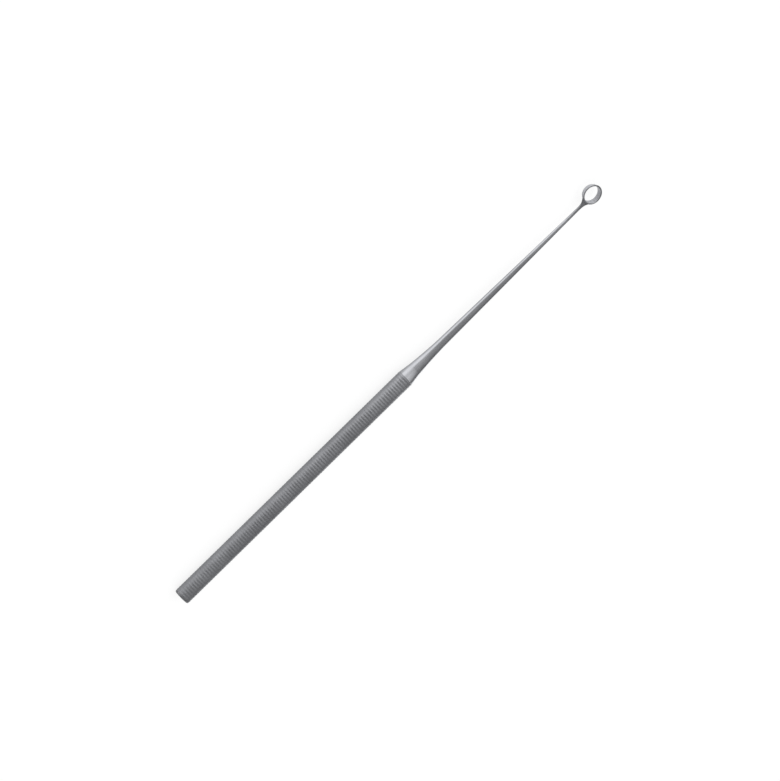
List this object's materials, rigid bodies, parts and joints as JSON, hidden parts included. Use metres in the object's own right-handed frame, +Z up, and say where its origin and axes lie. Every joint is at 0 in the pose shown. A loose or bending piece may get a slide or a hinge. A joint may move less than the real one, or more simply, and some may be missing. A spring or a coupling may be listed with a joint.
{
  "type": "dermal curette",
  "caption": "Slim steel dermal curette: a round ribbed handle with an end plug, a long tapered shaft and a small conical cutting ring held flat in its forked tip.",
  "frame": {"origin": "on the plane that the handle rests on, below the middle of the tool's box", "axes": "+X runs along the tool from the butt plug to the cutting ring, +Z is up and is the ring's own axis, with its wide rim up, and +Y is across"},
  "size_m": [0.165, 0.006, 0.0051],
  "materials": {
    "handle_tube": "satin, fine annular ribs",
    "butt_plug": "satin, turned smooth",
    "shaft": "polished at the neck, duller towards the tip",
    "cutting_ring": "satin, ground bright on its cutting edge"
  },
  "bodies": {
    "root": {"handle_tube": "handle_tube", "butt_plug": "butt_plug", "shaft": "shaft", "cutting_ring": "cutting_ring"}
  },
  "joints": []
}
